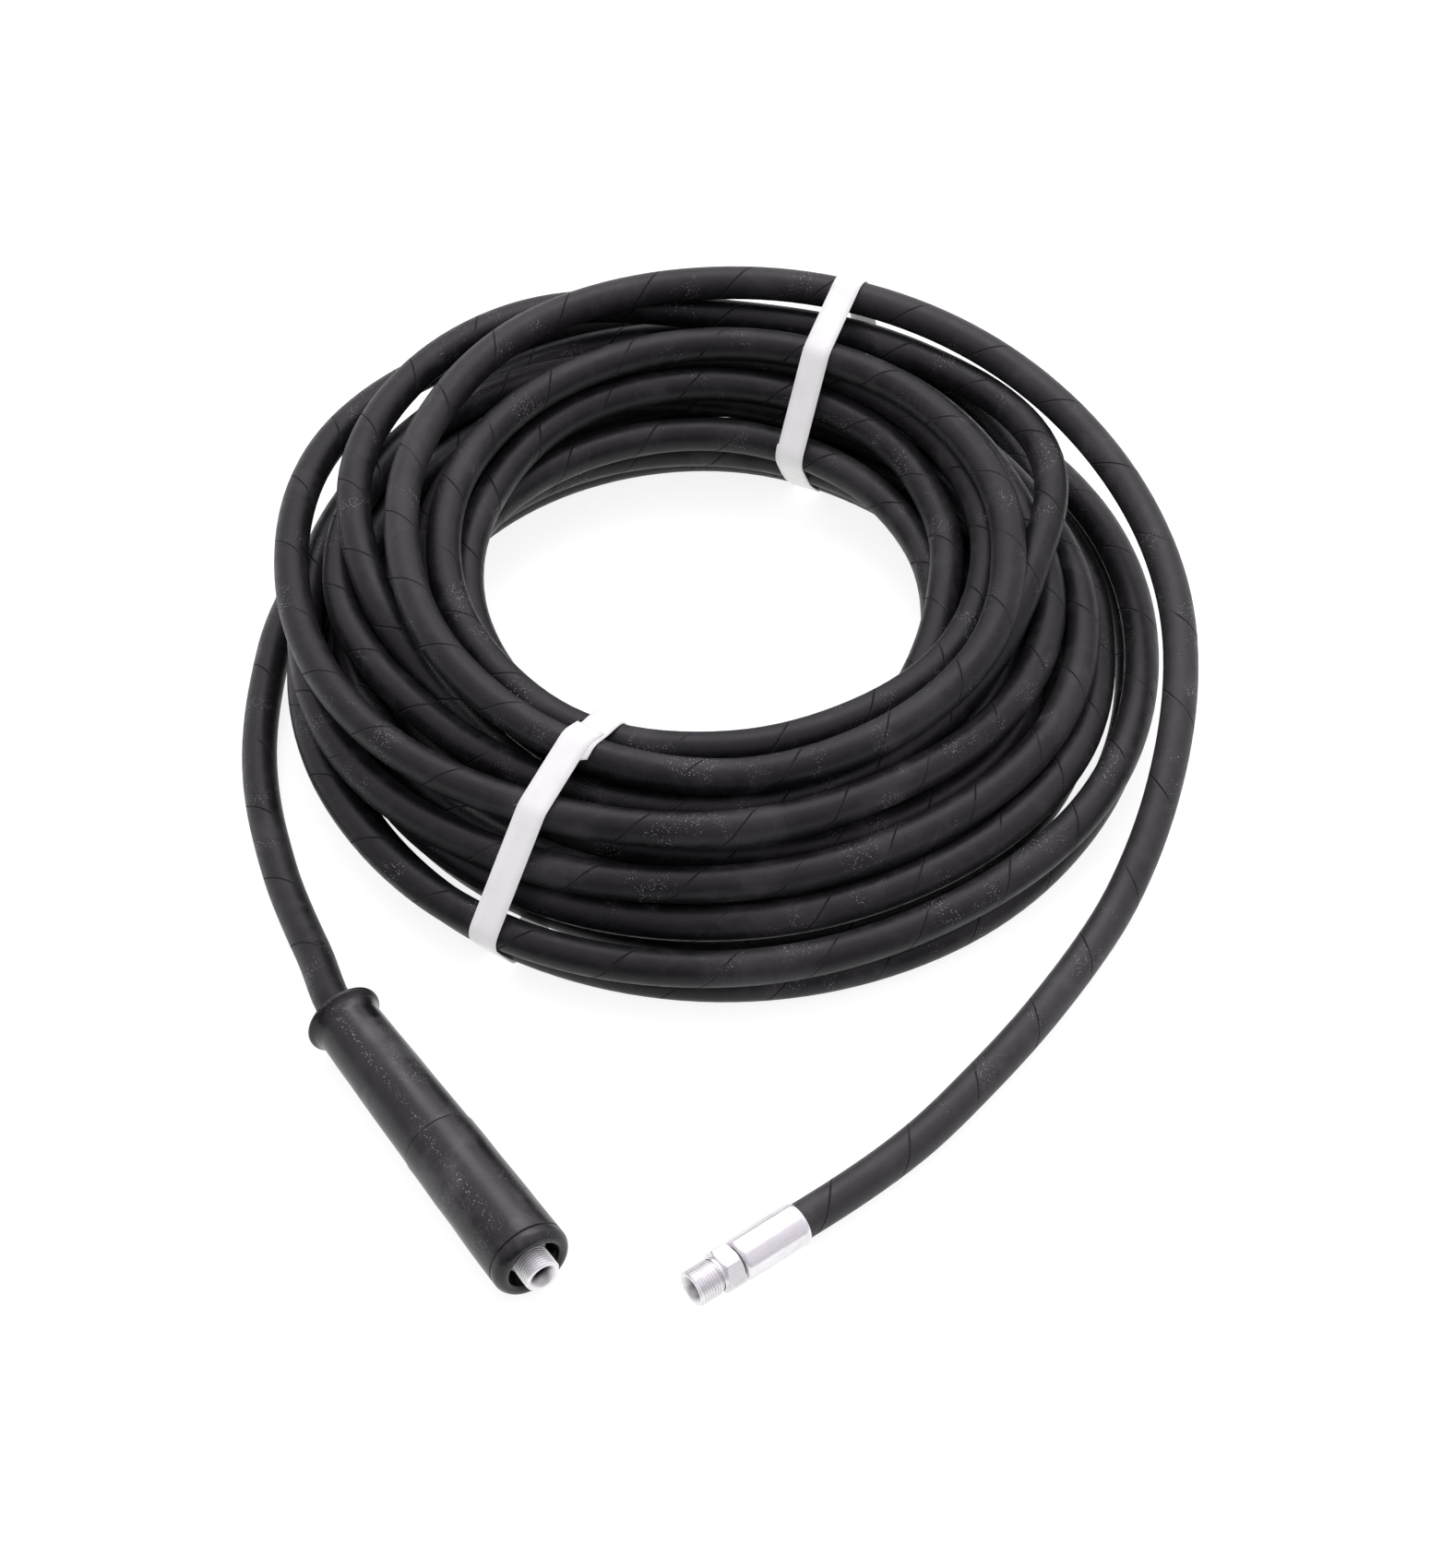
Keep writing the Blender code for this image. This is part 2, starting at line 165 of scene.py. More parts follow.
def newMaterial(name, roughness=None, metallic=0.0):
    made = bpy.data.materials.new(name)
    made.use_nodes = True
    tree = made.node_tree
    shader = tree.nodes["Principled BSDF"]
    shader.inputs["Metallic"].default_value = metallic
    if roughness is not None:
        shader.inputs["Roughness"].default_value = roughness
    return made, tree, shader


def newGroup(name, inputs, outputs):
    tree = bpy.data.node_groups.new(name, "ShaderNodeTree")
    for label, kind, value in inputs:
        socket = tree.interface.new_socket(name=label, in_out="INPUT", socket_type=kind)
        if value is not None:
            socket.default_value = value
    for label in outputs:
        tree.interface.new_socket(name=label, in_out="OUTPUT", socket_type="NodeSocketFloat")
    return tree, tree.nodes.new("NodeGroupInput").outputs, tree.nodes.new("NodeGroupOutput").inputs


# Handling marks on rubber: broad smudges of dust, and white specks in clusters
def rubberMarksGroup():
    tree, given, out = newGroup(
        "rubberMarks",
        (("Vector", "NodeSocketVector", None), ("Smudge Scale", "NodeSocketFloat", 22.0),
         ("Smudge Start", "NodeSocketFloat", 0.52), ("Speck Scale", "NodeSocketFloat", 900.0),
         ("Speck Start", "NodeSocketFloat", 0.60)),
        ("Smudges", "Specks"),
    )
    broad = addNode(tree, "TexNoise", {
        "Vector": given["Vector"], "Scale": given["Smudge Scale"], "Detail": 6.0, "Roughness": 0.62,
        "Distortion": 0.4,
    })
    smudges = addNode(tree, "MapRange", {
        "Value": broad.outputs["Fac"], "From Min": given["Smudge Start"],
        "From Max": mathOf(tree, "ADD", given["Smudge Start"], 0.22),
    })
    cells = addNode(tree, "TexVoronoi", {"Vector": given["Vector"], "Scale": given["Speck Scale"]})
    clusters = addNode(tree, "TexNoise", {"Vector": given["Vector"], "Scale": 46.0, "Detail": 3.0})
    inCluster = addNode(tree, "MapRange", {
        "Value": clusters.outputs["Fac"], "From Min": given["Speck Start"],
        "From Max": mathOf(tree, "ADD", given["Speck Start"], 0.10),
    })
    dot = rangeOf(tree, cells.outputs["Distance"], 0.10, 0.24, 1.0, 0.0)
    tree.links.new(smudges.outputs["Result"], out["Smudges"])
    tree.links.new(mathOf(tree, "MULTIPLY", dot, inCluster.outputs["Result"]), out["Specks"])
    return tree


rubberMarks = rubberMarksGroup()


def addMarks(tree, vector, **values):
    made = tree.nodes.new("ShaderNodeGroup")
    made.node_tree = rubberMarks
    tree.links.new(vector, made.inputs["Vector"])
    for key, value in values.items():
        made.inputs[key].default_value = value
    return made.outputs


hoseLook = {
    "rubber": (0.0040, 0.0036, 0.0046, 1.0),
    "worn": (0.0170, 0.0155, 0.0175, 1.0),
    "dust": (0.50, 0.49, 0.49, 1.0),
    # paintedLitEnd: painted light on the free stretch at the fitting end, as start and stop in metres along
    # the hose and its strength
    "paintedLitEnd": (0.2, 1.3, 0.042),
    "wrapPitch": 0.047,
    "wrapLine": 0.0008,
    "clothPitch": 0.0013,
}


def hoseRubber():
    look, tree, shader = newMaterial("wrappedHoseRubber")
    coordinates = addNode(tree, "TexCoord")
    around = addNode(tree, "UVMap", uv_map="alongHose").outputs["UV"]
    parts = addNode(tree, "SeparateXYZ", {0: around})
    turn = mathOf(tree, "DIVIDE", parts.outputs["Y"], math.pi * hose["diameter"])
    phase = mathOf(tree, "SUBTRACT", mathOf(tree, "DIVIDE", parts.outputs["X"], hoseLook["wrapPitch"]), turn)
    fromEdge = mathOf(tree, "ABSOLUTE", mathOf(tree, "SUBTRACT", mathOf(tree, "FRACT", phase), 0.5))
    edge = rangeOf(tree, fromEdge, 0.0, hoseLook["wrapLine"] / hoseLook["wrapPitch"], 1.0, 0.0)
    place = coordinates.outputs["Object"]
    breaks = addNode(tree, "TexNoise", {"Vector": place, "Scale": 38.0, "Detail": 2.0})
    broken = rangeOf(tree, breaks.outputs["Fac"], 0.34, 0.50)
    line = mathOf(tree, "MULTIPLY", edge, broken)
    marks = addMarks(tree, place, **{"Speck Start": 0.57})
    cloth = []
    for tilt in (0.9, -0.9):
        turned = addNode(tree, "Mapping", {"Vector": around, "Rotation": (0.0, 0.0, tilt)})
        wave = addNode(tree, "TexWave", {
            "Vector": turned.outputs[0], "Scale": math.pi / (10.0 * hoseLook["clothPitch"]),
            "Distortion": 0.6, "Detail": 1.0,
        })
        cloth.append(wave.outputs["Fac"])
    weave = mathOf(tree, "MULTIPLY", cloth[0], cloth[1])
    lumps = addNode(tree, "TexNoise", {"Vector": place, "Scale": 130.0, "Detail": 5.0})
    tone = addNode(tree, "TexNoise", {"Vector": place, "Scale": 9.0, "Detail": 4.0})
    wear = mathOf(tree, "MULTIPLY", rangeOf(tree, tone.outputs["Fac"], 0.38, 0.70), 0.8)
    colour = mixOf(tree, wear, hoseLook["rubber"], hoseLook["worn"])
    # Painted light: a lighter grey film in the dust colour, strongest over the first 0.2 m from the fitting
    # end and gone by 1.3 m, standing in for the brighter light on that free stretch on the open floor; the
    # smudges and weave patches added to it are real dust
    start, stop, most = hoseLook["paintedLitEnd"]
    dustAndPaintedLight = mathOf(tree, "MULTIPLY", marks["Smudges"], 0.05)
    dustAndPaintedLight = mathOf(tree, "ADD", dustAndPaintedLight, rangeOf(tree, parts.outputs["X"], start, stop, most, 0.0))
    patch = rangeOf(tree, lumps.outputs["Fac"], 0.50, 0.70, 0.0, 0.05)
    dustAndPaintedLight = mathOf(tree, "ADD", dustAndPaintedLight, mathOf(tree, "MULTIPLY", weave, patch))
    colour = mixOf(tree, dustAndPaintedLight, colour, hoseLook["dust"])
    colour = mixOf(tree, mathOf(tree, "MULTIPLY", marks["Specks"], 0.75), colour, hoseLook["dust"])
    colour = mixOf(tree, mathOf(tree, "MULTIPLY", line, 0.95), colour, (0.001, 0.001, 0.001, 1.0))
    tree.links.new(colour, shader.inputs["Base Color"])
    rough = rangeOf(tree, lumps.outputs["Fac"], 0.3, 0.7, 0.36, 0.50)
    rough = mathOf(tree, "ADD", rough, mathOf(tree, "MULTIPLY", line, 0.4))
    rough = mathOf(tree, "ADD", rough, mathOf(tree, "MULTIPLY", marks["Smudges"], 0.12))
    tree.links.new(rough, shader.inputs["Roughness"])
    shader.inputs["Specular IOR Level"].default_value = 0.24
    height = mathOf(tree, "MULTIPLY", lumps.outputs["Fac"], 0.5)
    height = mathOf(tree, "ADD", height, mathOf(tree, "MULTIPLY", weave, 0.14))
    height = mathOf(tree, "SUBTRACT", height, mathOf(tree, "MULTIPLY", line, 1.2))
    bump = addNode(tree, "Bump", {"Height": height, "Strength": 0.8, "Distance": 0.0004})
    tree.links.new(bump.outputs[0], shader.inputs["Normal"])
    return look


gripLook = {
    "rubber": (0.0025, 0.0023, 0.0028, 1.0),
    "worn": (0.0130, 0.0121, 0.0134, 1.0),
    "dust": (0.46, 0.45, 0.45, 1.0),
    "trail": (-0.0487, 0.0030),
}


def gripRubber():
    look, tree, shader = newMaterial("mouldedGripRubber")
    place = addNode(tree, "TexCoord").outputs["Object"]
    marks = addMarks(tree, place, **{"Smudge Scale": 34.0, "Smudge Start": 0.50, "Speck Start": 0.55})
    tone = addNode(tree, "TexNoise", {"Vector": place, "Scale": 24.0, "Detail": 7.0, "Distortion": 0.8})
    wear = rangeOf(tree, tone.outputs["Fac"], 0.35, 0.72)
    colour = mixOf(tree, wear, gripLook["rubber"], gripLook["worn"])
    colour = mixOf(tree, mathOf(tree, "MULTIPLY", marks["Smudges"], 0.11), colour, gripLook["dust"])
    around = addNode(tree, "SeparateXYZ", {0: addNode(tree, "UVMap", uv_map="turned").outputs["UV"]})
    line, width = gripLook["trail"]
    off = mathOf(tree, "ABSOLUTE", mathOf(tree, "SUBTRACT", around.outputs["Y"], line))
    trail = rangeOf(tree, off, width * 0.3, width, 1.0, 0.0)
    cells = addNode(tree, "TexVoronoi", {"Vector": place, "Scale": 750.0})
    dots = mathOf(tree, "MULTIPLY", rangeOf(tree, cells.outputs["Distance"], 0.10, 0.30, 1.0, 0.0), trail)
    dots = mathOf(tree, "MULTIPLY", dots, rangeOf(tree, tone.outputs["Fac"], 0.42, 0.56))
    specks = mathOf(tree, "MULTIPLY", mathOf(tree, "MAXIMUM", dots, marks["Specks"]), 0.6)
    colour = mixOf(tree, specks, colour, gripLook["dust"])
    tree.links.new(colour, shader.inputs["Base Color"])
    tree.links.new(rangeOf(tree, tone.outputs["Fac"], 0.3, 0.75, 0.20, 0.42), shader.inputs["Roughness"])
    shader.inputs["Specular IOR Level"].default_value = 0.38
    grain = addNode(tree, "TexNoise", {"Vector": place, "Scale": 900.0, "Detail": 3.0})
    waves = addNode(tree, "TexNoise", {"Vector": place, "Scale": 60.0, "Detail": 3.0})
    height = mathOf(tree, "ADD", mathOf(tree, "MULTIPLY", grain.outputs["Fac"], 0.10), waves.outputs["Fac"])
    bump = addNode(tree, "Bump", {"Height": height, "Strength": 0.4, "Distance": 0.0004})
    tree.links.new(bump.outputs[0], shader.inputs["Normal"])
    return look


# The bore colour is painted shade for the inside of the nipple's bore
zincLook = {
    "bright": (0.82, 0.82, 0.82, 1.0), "dull": (0.71, 0.71, 0.71, 1.0), "bore": (0.04, 0.04, 0.04, 1.0),
}


def zincSteel():
    look, tree, shader = newMaterial("brightZincSteel", metallic=1.0)
    place = addNode(tree, "TexCoord").outputs["Object"]
    turned = addNode(tree, "UVMap", uv_map="turned").outputs["UV"]
    stretched = addNode(tree, "Mapping", {"Vector": turned, "Scale": (1.0, 0.03, 1.0)})
    rings = addNode(tree, "TexNoise", {"Vector": stretched.outputs[0], "Scale": 5200.0, "Detail": 3.0})
    patches = addNode(tree, "TexNoise", {"Vector": place, "Scale": 260.0, "Detail": 4.0, "Roughness": 0.55})
    drawn = addNode(tree, "Mapping", {"Vector": turned, "Scale": (0.06, 1.0, 1.0)})
    streaks = addNode(tree, "TexNoise", {"Vector": drawn.outputs[0], "Scale": 900.0, "Detail": 3.0})
    worn = mathOf(tree, "MULTIPLY", rangeOf(tree, patches.outputs["Fac"], 0.45, 0.75), 0.6)
    drawnOut = rangeOf(tree, streaks.outputs["Fac"], 0.50, 0.72, 0.0, 0.8)
    worn = mathOf(tree, "ADD", worn, drawnOut)
    colour = mixOf(tree, worn, zincLook["bright"], zincLook["dull"])
    paintedBoreShade = addNode(tree, "Attribute", attribute_name="paintedBoreShade").outputs["Fac"]
    # Painted shade: the bore is coloured near-black, where shade falls inside the hole
    colour = mixOf(tree, paintedBoreShade, colour, zincLook["bore"])
    tree.links.new(colour, shader.inputs["Base Color"])
    tree.links.new(rangeOf(tree, patches.outputs["Fac"], 0.3, 0.7, 0.34, 0.50), shader.inputs["Roughness"])
    height = mathOf(tree, "ADD", mathOf(tree, "MULTIPLY", rings.outputs["Fac"], 0.4), patches.outputs["Fac"])
    bump = addNode(tree, "Bump", {"Height": height, "Strength": 0.18, "Distance": 0.00008})
    tree.links.new(bump.outputs[0], shader.inputs["Normal"])
    return look


# Thin white plastic with a painted glow: the strap emits a little of its own white, standing in for light
# from behind showing through
strapLook = {"white": (0.60, 0.605, 0.59, 1.0), "soiled": (0.52, 0.525, 0.51, 1.0), "paintedGlow": 0.20}


def strapPlastic():
    look, tree, shader = newMaterial("whiteStrap")
    along = addNode(tree, "UVMap", uv_map="alongStrap").outputs["UV"]
    place = addNode(tree, "TexCoord").outputs["Object"]
    tone = addNode(tree, "TexNoise", {"Vector": place, "Scale": 70.0, "Detail": 6.0})
    soiled = rangeOf(tree, tone.outputs["Fac"], 0.50, 0.85)
    colour = mixOf(tree, soiled, strapLook["white"], strapLook["soiled"])
    tree.links.new(colour, shader.inputs["Base Color"])
    tree.links.new(rangeOf(tree, tone.outputs["Fac"], 0.3, 0.7, 0.42, 0.60), shader.inputs["Roughness"])
    # Painted glow: the strap gives off light of its own, though it is no lamp
    shader.inputs["Emission Color"].default_value = strapLook["white"]
    shader.inputs["Emission Strength"].default_value = strapLook["paintedGlow"] / strapLook["white"][0]
    drawn = addNode(tree, "Mapping", {"Vector": along, "Scale": (0.05, 1.0, 1.0)})
    threads = addNode(tree, "TexNoise", {"Vector": drawn.outputs[0], "Scale": 2600.0, "Detail": 2.0})
    creases = addNode(tree, "TexNoise", {"Vector": place, "Scale": 150.0, "Detail": 3.0, "Distortion": 1.0})
    height = mathOf(tree, "MULTIPLY", threads.outputs["Fac"], 0.25)
    height = mathOf(tree, "ADD", height, creases.outputs["Fac"])
    bump = addNode(tree, "Bump", {"Height": height, "Strength": 0.30, "Distance": 0.0004})
    tree.links.new(bump.outputs[0], shader.inputs["Normal"])
    return look


# The hose's route, from the bare fitting's ferrule to the one in the grip
hose = {"diameter": 0.017, "sides": 24, "ringSpacing": 0.008, "lowestTurn": 0.55}

# Where each end's mouth lies: bearing about the bundle's axis, distance from it, heading
# of the end, height of its axis, and how far inside the mouth the hose stops
ends = {
    "fitting": {"bearing": -85.0, "out": 0.3453, "heading": 217.5, "height": 0.0096, "stop": 0.0297},
    "grip": {"bearing": -126.4, "out": 0.2929, "heading": -56.5, "height": 0.0185, "stop": 0.1436},
}

# Free stretches: bearing, distance from the bundle's axis and height, in hose diameters
fittingTail = (
    (-73.8, 18.1, 0.50), (-67.0, 16.9, 0.50), (-59.8, 15.9, 0.50), (-50.9, 14.95, 0.50),
    (-41.8, 14.3, 0.70), (-30.0, 13.7, 1.55),
)
gripTail = (
    (198.1, 13.96, 0.50), (204.2, 14.26, 0.50), (209.8, 14.58, 0.50), (215.2, 14.97, 0.50),
    (220.6, 15.42, 0.56), (225.4, 15.94, 0.72),
)

# One row a turn, one station every 30 degrees: distance from the bundle's axis and
# height of the hose's centreline, in hose diameters
woundTurns = (
    ((12.7, 3.45), (11.84, 4.67), (11.46, 5.35), (11.47, 5.41), (11.36, 5.2), (10.19, 5.1),
     (9.19, 5.1), (8.83, 5.1), (8.63, 4.83), (8.43, 4.62), (8.13, 4.71), (8.04, 4.83)),
    ((7.98, 4.87), (8.45, 4.76), (9.12, 4.71), (9.55, 4.64), (9.34, 4.6), (8.72, 4.55),
     (8.05, 4.5), (7.71, 4.51), (7.64, 4.46), (7.13, 4.36), (6.77, 4.21), (6.93, 4.05)),
    ((7.34, 3.85), (8.27, 3.74), (9.34, 3.69), (9.94, 3.69), (9.92, 3.7), (9.27, 3.59),
     (8.52, 3.54), (7.84, 3.48), (7.73, 3.42), (7.54, 3.37), (7.09, 3.17), (6.15, 3.11)),
    ((6.14, 3.03), (7.16, 3.04), (8.38, 3.3), (8.86, 3.62), (8.89, 3.58), (8.06, 3.47),
     (7.45, 3.24), (6.96, 2.96), (6.82, 2.91), (6.73, 2.73), (6.66, 2.23), (6.39, 1.95)),
    ((6.07, 1.93), (6.59, 2.03), (7.34, 2.21), (7.91, 2.43), (8.23, 2.45), (8.32, 2.48),
     (8.27, 2.45), (8.06, 2.21), (7.75, 1.95), (7.61, 1.88), (7.59, 1.78), (7.47, 1.59)),
    ((7.35, 1.38), (7.51, 1.35), (7.91, 1.35), (8.42, 1.36), (8.77, 1.49), (8.95, 1.66),
     (9.04, 1.75), (9.03, 1.73), (8.93, 1.64), (8.79, 1.5), (8.59, 1.3), (8.34, 1.03)),
    ((8.15, 0.72), (8.18, 0.56), (8.56, 0.55), (9.11, 0.55), (9.42, 0.55), (9.6, 0.55),
     (9.69, 0.55), (9.71, 0.55), (9.72, 0.55), (9.71, 0.55), (9.63, 0.55), (9.44, 0.55)),
    ((9.24, 0.55), (9.21, 0.55), (9.59, 0.55), (10.14, 0.55), (10.47, 0.55), (10.66, 0.55),
     (10.72, 0.55), (10.75, 0.58), (10.78, 0.63), (10.77, 0.63), (10.66, 0.58), (10.47, 0.56)),
    ((10.27, 0.56), (10.23, 0.57), (10.56, 0.98), (10.62, 1.47), (10.22, 1.66), (9.93, 2.05),
     (9.81, 2.46), (9.68, 2.54), (9.51, 2.56), (9.39, 2.6), (9.27, 2.48), (9.1, 2.21)),
    ((8.54, 1.87), (9.18, 1.75), (9.82, 2.04), (10.43, 2.69), (11.06, 3.27), (11.51, 3.49),
     (11.05, 3.5), (9.75, 3.56), (9.09, 3.7), (8.61, 3.63), (8.09, 3.62), (7.8, 3.69)),
    ((8.5, 4.18), (10.55, 4.37), (10.85, 4.36), (11.17, 4.37), (12.67, 4.48), (12.0, 4.55),
     (10.3, 4.37), (8.79, 3.16), (8.5, 2.69), (8.35, 2.59), (8.25, 2.59), (8.13, 2.7)),
    ((8.15, 2.83), (8.48, 2.61), (8.86, 2.39), (9.4, 2.54), (10.2, 2.71), (10.75, 2.7),
     (10.85, 2.49), (10.71, 2.45), (10.51, 2.29), (10.25, 2.05), (10.07, 1.83), (10.01, 1.6)),
    ((9.63, 1.73), (10.72, 1.92), (11.81, 3.16), (12.52, 3.1), (13.16, 3.25), (13.4, 3.54),
     (12.42, 3.62), (11.47, 3.82), (10.46, 4.05), (9.9, 4.16), (9.09, 3.77), (9.03, 3.4)),
    ((9.19, 3.22), (9.34, 3.51), (10.42, 3.42), (11.39, 3.32), (12.06, 3.01), (12.16, 2.62),
     (12.15, 2.54), (11.96, 2.57), (11.37, 2.86), (10.84, 3.03), (10.3, 2.87), (10.24, 2.76)),
    ((10.15, 2.76), (10.05, 2.76), (10.75, 2.44), (11.38, 2.26), (11.33, 1.99), (11.18, 1.71),
     (11.13, 1.51), (11.24, 1.55), (11.43, 1.81), (11.41, 2.11), (11.08, 2.14), (10.86, 2.02)),
    ((10.63, 1.51), (11.23, 1.06), (11.73, 2.02), (12.31, 1.77), (12.26, 1.54), (12.22, 1.53),
     (12.19, 1.51), (12.47, 1.5), (12.76, 1.51), (12.55, 1.53), (12.12, 1.57), (12.03, 1.61)),
    ((11.88, 1.69), (12.03, 1.55), (12.32, 1.17), (11.84, 0.81), (11.75, 0.65), (11.77, 0.58),
     (11.84, 0.55), (11.94, 0.55), (12.18, 0.55), (12.24, 0.55), (12.06, 0.55), (11.77, 0.55)),
    ((11.76, 0.55), (12.35, 0.55), (13.15, 0.55), (12.99, 0.55), (12.9, 0.55), (12.93, 0.55),
     (13.3, 0.55)),
)

stationStep = 30.0
planesPerTurn = 72


# A smooth curve through rows of values at the given places, read at others
def smoothThrough(places, rows, wanted):
    slopes = np.gradient(rows, places, axis=0)
    i = np.clip(np.searchsorted(places, wanted, side="right") - 1, 0, len(places) - 2)
    span = (places[i + 1] - places[i])[:, None]
    t = (wanted - places[i])[:, None] / span
    return (
        (2 * t**3 - 3 * t**2 + 1) * rows[i] + (t**3 - 2 * t**2 + t) * span * slopes[i]
        + (3 * t**2 - 2 * t**3) * rows[i + 1] + (t**3 - t**2) * span * slopes[i + 1]
    )


# Turns that meet in a radial plane are pushed a hose's width apart, and each push is
# spread along the hose
def settleTurns(stations, rounds=200, apartness=1.02):
    count = len(stations)
    turns = -(-count // planesPerTurn)
    index = np.arange(turns * planesPerTurn).reshape(turns, planesPerTurn).T
    real = index < count
    index = np.where(real, index, 0)
    pairs = real[:, :, None] & real[:, None, :] & ~np.eye(turns, dtype=bool)
    moved = np.zeros((count, 2))
    for _ in range(rounds):
        here = (stations + moved)[index]
        apart = here[:, :, None] - here[:, None, :]
        distance = np.linalg.norm(apart, axis=-1) + 1e-9
        push = np.where(pairs & (distance < apartness), (apartness - distance) / distance, 0.0)
        step = 0.4 * (push[..., None] * apart).sum(axis=2)
        moved[index[real]] += step[real]
        moved[1:-1] += 0.3 * ((moved[:-2] + moved[2:]) / 2 - moved[1:-1])
        moved[:, 1] = np.maximum(moved[:, 1], hose["lowestTurn"] - stations[:, 1])
    return stations + moved


def fromPolar(bearings, outwards, heights):
    angle = np.radians(bearings)
    return np.stack([
        bundleAxis[0] + outwards * np.cos(angle), bundleAxis[1] + outwards * np.sin(angle), heights,
    ], axis=1)


def endPoint(end, along):
    mouth = fromPolar(np.array([end["bearing"]]), end["out"], np.array([end["height"]]))[0]
    heading = math.radians(end["heading"])
    return mouth + along * np.array([math.cos(heading), math.sin(heading), 0.0])


def evenly(points, spacing):
    chords = np.linalg.norm(np.diff(points, axis=0), axis=1)
    places = np.concatenate([[0.0], np.cumsum(chords)])
    fine = smoothThrough(places, points, np.linspace(0.0, places[-1], 12 * len(points)))
    fine[:, 2] = np.maximum(fine[:, 2], hose["diameter"] / 2)
    along = np.concatenate([[0.0], np.cumsum(np.linalg.norm(np.diff(fine, axis=0), axis=1))])
    wanted = np.linspace(0.0, along[-1], round(along[-1] / spacing) + 1)
    return np.stack([np.interp(wanted, along, fine[:, k]) for k in range(3)], axis=1), along[-1]


stationRows = np.array([station for turn in woundTurns for station in turn])
stationBearings = stationStep * np.arange(len(stationRows))
woundBearings = np.arange(0.0, stationBearings[-1] + 0.1, 360.0 / planesPerTurn)
woundPlaces = settleTurns(smoothThrough(stationBearings, stationRows, woundBearings))


def hoseRoute():
    size = hose["diameter"]
    tails = [np.array(tail) for tail in (fittingTail, gripTail)]
    route = [
        *(endPoint(ends["fitting"], along) for along in (ends["fitting"]["stop"], 0.008, -0.004, -0.020)),
        *fromPolar(tails[0][:, 0], tails[0][:, 1] * size, tails[0][:, 2] * size),
        *fromPolar(woundBearings, woundPlaces[:, 0] * size, woundPlaces[:, 1] * size),
        *fromPolar(tails[1][:, 0], tails[1][:, 1] * size, tails[1][:, 2] * size),
        *(endPoint(ends["grip"], along) for along in (-0.002, 0.010, ends["grip"]["stop"])),
    ]
    return evenly(np.array(route), hose["ringSpacing"])


hosePath, hoseLength = hoseRoute()
print(f"hose: {len(woundBearings) / planesPerTurn:.1f} turns, {hoseLength:.2f} m")


# A grid rolled into a tube round the path, with its seam underneath and a UV map in metres
def tubeMesh(name, path, length, radius, sides):
    tangent = np.gradient(path, axis=0)
    tangent /= np.linalg.norm(tangent, axis=1)[:, None]
    sideways = np.cross(tangent, (0.0, 0.0, 1.0))
    sideways /= np.linalg.norm(sideways, axis=1)[:, None]
    upwards = np.cross(sideways, tangent)
    mesh, share = gridMesh(name, "alongHose", len(path) - 1, sides)
    ring = np.rint(share[:, 0] * (len(path) - 1)).astype(int)
    angle = 2.0 * math.pi * share[:, 1] - math.pi / 2
    writePoints(mesh, path[ring] + radius * (
        np.cos(angle)[:, None] * sideways[ring] + np.sin(angle)[:, None] * upwards[ring]
    ))
    scaleUv(mesh, "alongHose", (length, 2.0 * math.pi * radius))
    closeMesh(mesh, 1e-5)
    return mesh


rubber = hoseRubber()
hoseTube = addPiece(
    "hoseTube",
    tubeMesh("hoseTube", hosePath, hoseLength, hose["diameter"] / 2, hose["sides"]),
    rubber, ("hose_coil", "hose_to_fitting", "hose_to_grip"),
)
print("hose tube made:", len(hoseTube.data.polygons), "faces")

# Taut white straps, each in an upright plane through this point, from the bundle's axis,
# with the place in that plane where its outer end lies over its inner one
straps = {
    "thickness": 0.0006, "clear": 0.0004, "lap": 0.027, "ramp": 0.012, "spacing": 0.0025,
    "window": (-0.06, 0.13), "rows": 4, "offFloor": 0.0007,
    "strapFront": {
        "node": "strap_front", "through": (-0.0635, -0.1221), "heading": 236.7, "width": 0.0148,
        "lapEnd": (0.0253, 0.0870), "slip": 0.0028, "slant": 0.0085,
    },
    "strapBack": {
        "node": "strap_back", "through": (0.0335, 0.1210), "heading": 65.8, "width": 0.0142,
        "lapEnd": (0.0, 0.0447), "slip": 0.0008, "slant": 0.0,
    },
}


def planeAxes(strap):
    heading = math.radians(strap["heading"])
    ahead = np.array([math.cos(heading), math.sin(heading)])
    return ahead, np.array([-ahead[1], ahead[0]]), bundleAxis[:2] + strap["through"]


# Where the hose passes through the strap's plane, or through one beside it
def hoseCrossings(strap, across):
    ahead, side, origin = planeAxes(strap)
    local = hosePath[:, :2] - origin
    off = local @ side - across
    hit = np.flatnonzero(off[:-1] * off[1:] < 0)
    share = off[hit] / (off[hit] - off[hit + 1])
    at = hosePath[hit] + share[:, None] * (hosePath[hit + 1] - hosePath[hit])
    out = (at[:, :2] - origin) @ ahead
    inside = (out > straps["window"][0]) & (out < straps["window"][1])
    return np.stack([out, at[:, 2]], axis=1)[inside]


# The taut line round all turns under the strap's width, clockwise, closed
def tautLine(strap):
    reach = hose["diameter"] / 2 + straps["clear"]
    angles = np.linspace(0.0, 2.0 * math.pi, 60, endpoint=False)
    ring = reach * np.stack([np.cos(angles), np.sin(angles)], axis=1)
    points = []
    for across in (-strap["width"] / 2, 0.0, strap["width"] / 2):
        for centre in hoseCrossings(strap, across):
            points += [Vector(point) for point in centre + ring]
    line = np.array([points[i][:] for i in reversed(convex_hull_2d(points))])
    line[:, 1] = np.maximum(line[:, 1], straps["offFloor"])
    return np.vstack([line, line[:1]])


